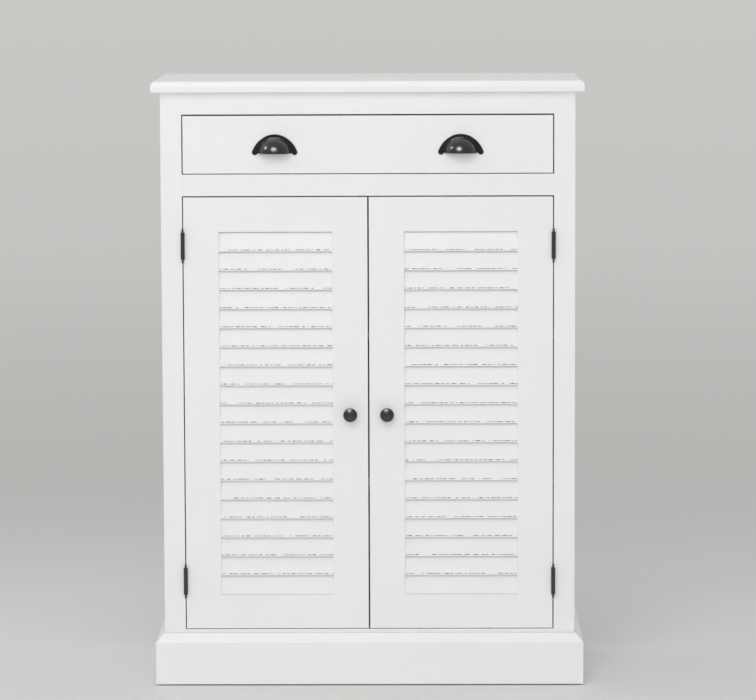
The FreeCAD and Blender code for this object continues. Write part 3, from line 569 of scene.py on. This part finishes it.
# ---------------------------------------------------------------- floor and surroundings
def make_floor():
    """A large pale floor that fades into the wall away from the cabinet.

    Metal mirrors the floor in front of the cabinet as dark as the room there.
    """
    mesh = bpy.data.meshes.new("floor")
    turns = [math.radians(angle) for angle in range(0, 360, 5)]
    rim = [(FLOOR_RADIUS * math.cos(turn), FLOOR_RADIUS * math.sin(turn), 0.0) for turn in turns]
    mesh.from_pydata(rim, [], [list(range(len(rim)))])
    floor = bpy.data.objects.new("floor", mesh)
    bpy.context.scene.collection.objects.link(floor)
    graph = new_graph("pale_floor")
    rays = graph.add("LightPath").outputs
    place = graph.place()
    away = graph.add("VectorMath", {0: place}, operation="LENGTH").outputs["Value"]
    past_foot = graph.remap(away, WALL_FOOT_START, WALL_FOOT_END)
    wall = graph.blend(past_foot, WALL_FOOT, WALL_GREY)
    rising = graph.math("DIVIDE", -CAMERA_HEIGHT, graph.math("ADD", away, CAMERA_DISTANCE))
    wall = graph.blend(graph.remap(rising, WALL_LOW_Z, WALL_HIGH_Z), wall, WALL_HIGH)
    in_front = graph.remap(graph.parts(place)[1], ROOM_START, ROOM_END)
    mirrored = graph.math("MULTIPLY", rays["Is Glossy Ray"], in_front)
    wall = graph.blend(mirrored, wall, ROOM_GREY)
    near = graph.add("BsdfPrincipled", {"Base Color": (*FLOOR_PALE, 1.0), "Roughness": 0.6})
    far = graph.add("Emission", {"Color": wall, "Strength": 1.0})
    seen = graph.math("MAXIMUM", rays["Is Camera Ray"], graph.sent_on(rays))
    fade = graph.math("MULTIPLY", graph.remap(away, FLOOR_FADE_START, FLOOR_FADE_END), seen)
    mix = graph.add("MixShader", {0: fade, 1: near.outputs[0], 2: far.outputs[0]})
    graph.add("OutputMaterial", {"Surface": mix.outputs[0]})
    mesh.materials.append(graph.owner)


def make_world():
    """Even white light. The camera sees a grey wall, and metal mirrors a darker room in front."""
    world = bpy.data.worlds.new("studio")
    world.use_nodes = True
    graph = Graph(world, world.node_tree)
    rays = graph.add("LightPath").outputs
    _, facing, rising = graph.parts(graph.add("TexCoord").outputs["Generated"])
    mirrored = graph.blend(graph.remap(facing, ROOM_Y, WALL_Y), ROOM_GREY, WALL_GREY)
    shade = graph.blend(graph.remap(rising, WALL_LOW_Z, WALL_HIGH_Z), WALL_GREY, WALL_HIGH)
    light = graph.add(
        "Background", {"Color": (1.0, 1.0, 1.0, 1.0), "Strength": WORLD_STRENGTH})
    room = graph.add("Background", {"Color": mirrored})
    wall = graph.add("Background", {"Color": shade})
    unseen = graph.add(
        "MixShader", {0: graph.sent_on(rays), 1: light.outputs[0], 2: room.outputs[0]})
    seen = graph.add(
        "MixShader", {0: rays["Is Camera Ray"], 1: unseen.outputs[0], 2: wall.outputs[0]})
    graph.add("OutputWorld", {"Surface": seen.outputs[0]})
    bpy.context.scene.world = world


def make_area_light(name, azimuth, elevation, distance, width, height, power, shows):
    """A soft light aimed at the middle of the cabinet; azimuth is to the right of its front.

    It shows on surfaces only as light ("matt") or only as a reflection ("gloss").
    """
    target = (cad_low + cad_high) / 2
    turn = math.radians(azimuth)
    lift = math.radians(elevation)
    level = math.cos(lift)
    away = Vector((math.sin(turn) * level, -math.cos(turn) * level, math.sin(lift)))
    data = bpy.data.lights.new(name, "AREA")
    data.shape = "ELLIPSE"
    data.size = width
    data.size_y = height
    data.energy = power
    lamp = bpy.data.objects.new(name, data)
    lamp.visible_glossy = shows == "gloss"
    lamp.visible_diffuse = shows == "matt"
    lamp.location = target + away * distance
    lamp.rotation_euler = (-away).to_track_quat("-Z", "Y").to_euler()
    bpy.context.scene.collection.objects.link(lamp)


make_floor()
make_world()
make_area_light(
    "window", azimuth=-9, elevation=36, distance=4.0,
    width=1.3, height=1.3, power=22.0, shows="matt")
make_area_light(
    "side_window", azimuth=-56, elevation=32, distance=4.0,
    width=0.4, height=0.7, power=8.0, shows="matt")
make_area_light(
    "room", azimuth=0, elevation=13, distance=5.0,
    width=5.4, height=2.2, power=65.0, shows="matt")
make_area_light(
    "ceiling", azimuth=180, elevation=84, distance=2.6,
    width=2.4, height=1.4, power=8.5, shows="matt")
make_area_light(
    "left_fill", azimuth=-115, elevation=6, distance=4.0,
    width=2.0, height=1.6, power=17.0, shows="matt")
make_area_light(
    "right_fill", azimuth=115, elevation=6, distance=4.0,
    width=2.0, height=1.6, power=12.0, shows="matt")
make_area_light(
    "window_glint", azimuth=-9, elevation=37.5, distance=4.0,
    width=2.0, height=1.5, power=125.0, shows="gloss")
make_area_light(
    "side_glint", azimuth=-76, elevation=38, distance=4.0,
    width=0.8, height=0.7, power=34.0, shows="gloss")


# ---------------------------------------------------------------- camera
def make_camera():
    """The photograph's viewing angle: a little right of the middle and above the top."""
    right = Vector((math.cos(CAMERA_YAW), -math.sin(CAMERA_YAW), 0))
    forward = Vector((
        math.sin(CAMERA_YAW) * math.cos(CAMERA_PITCH),
        math.cos(CAMERA_YAW) * math.cos(CAMERA_PITCH),
        -math.sin(CAMERA_PITCH)))
    up = right.cross(forward)
    rolled_right = right * math.cos(CAMERA_ROLL) + up * math.sin(CAMERA_ROLL)
    rolled_up = -right * math.sin(CAMERA_ROLL) + up * math.cos(CAMERA_ROLL)
    turn = Matrix((rolled_right, rolled_up, -forward)).transposed().to_4x4()
    place = Vector((CAMERA_RIGHT, front_face - CAMERA_DISTANCE, CAMERA_HEIGHT))
    data = bpy.data.cameras.new("camera")
    data.sensor_width = CAMERA_SENSOR_MM
    data.lens = CAMERA_LENS_MM
    camera = bpy.data.objects.new("camera", data)
    camera.matrix_world = Matrix.Translation(place) @ turn
    bpy.context.scene.collection.objects.link(camera)
    bpy.context.scene.camera = camera


make_camera()
bpy.context.scene.view_settings.view_transform = "Standard"
